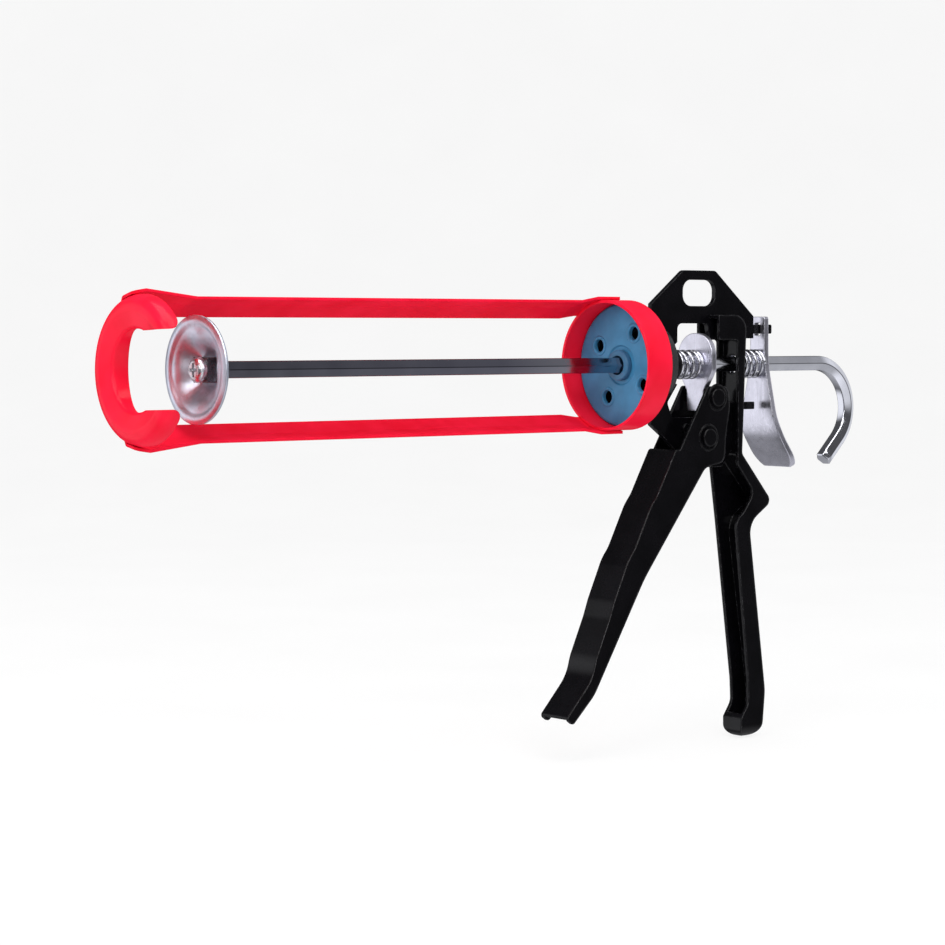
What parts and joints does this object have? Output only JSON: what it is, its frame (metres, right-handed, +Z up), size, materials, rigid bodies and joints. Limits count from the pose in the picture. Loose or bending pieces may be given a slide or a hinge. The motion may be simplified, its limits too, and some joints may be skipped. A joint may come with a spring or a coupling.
{
  "type": "caulking gun",
  "caption": "Open-frame caulking gun: revolving cartridge cradle, hook-ended push rod with plunger, channel handle, trigger, drive plate and thumb release lever.",
  "frame": {"origin": "centre of the seat disc's front face, on the push rod's axis, where the cartridge's bottom rests", "axes": "+X along the push rod from the nozzle end to the hook, +Z up, with the trigger below the rod"},
  "size_m": [0.3796, 0.0546, 0.2015],
  "materials": {
    "cradle_red": "gloss enamel",
    "seat_blue": "satin enamel",
    "hub_blue": "satin enamel",
    "body_black": "semi-gloss powder coat",
    "trigger_black": "semi-gloss powder coat",
    "rivet_black": "semi-gloss powder coat",
    "zinc_plate": "zinc plated",
    "spring_steel": "bright",
    "plain_steel": "plain",
    "rod_chrome": "bright plated",
    "plunger_zinc": "zinc plated"
  },
  "bodies": {
    "body": {"front_flange": "body_black", "swivel_hub": "hub_blue", "swivel_washer": "plain_steel", "hang_plate": "body_black", "pivot_plate": "body_black", "handle_channel": "body_black", "plate_rivet": "rivet_black", "trigger_pivot": "rivet_black", "pivot_bushes": "plain_steel", "drive_spring": "spring_steel", "release_spring": "spring_steel"},
    "cradle": {"front_plate": "cradle_red", "upper_rail": "cradle_red", "lower_rail": "cradle_red", "rear_ring": "cradle_red", "seat_disc": "seat_blue"},
    "trigger": {"trigger": "trigger_black", "drive_pin": "rivet_black"},
    "drive": {"drive_plate": "zinc_plate"},
    "lever": {"release_lever": "zinc_plate"},
    "rod": {"push_rod": "rod_chrome", "hook_bend": "rod_chrome", "plunger_disc": "plunger_zinc", "plunger_spacer": "plunger_zinc", "plunger_screw": "rod_chrome"}
  },
  "joints": [
    {"name": "cradle_revolve", "type": "hinge", "parent": "body", "child": "cradle", "pos_m": [0, 0, 0], "axis": [1, 0, 0], "continuous": true},
    {"name": "trigger_squeeze", "type": "hinge", "parent": "body", "child": "trigger", "pos_m": [0.0431, 0, -0.0309], "axis": [0, -1, 0], "range_deg": [0, 26], "stiffness_Nm_per_rad": 0.6, "springref_deg": -8.59},
    {"name": "drive_slide", "type": "slide", "parent": "body", "child": "drive", "axis": [-1, 0, 0], "range_m": [0, 0.0081], "deforming": ["drive_spring"]},
    {"name": "lever_release", "type": "hinge", "parent": "body", "child": "lever", "pos_m": [0.0818, 0, 0.015], "axis": [0, 1, 0], "range_deg": [0, 4.5], "stiffness_Nm_per_rad": 0.6, "springref_deg": -5.73, "deforming": ["release_spring"]},
    {"name": "rod_slide", "type": "slide", "parent": "body", "child": "rod", "axis": [1, 0, 0], "range_m": [-0.017, 0.2]}
  ],
  "couplings": [
    {"joint": "drive_slide", "follows": "trigger_squeeze", "m_per_rad": 0.01763}
  ]
}
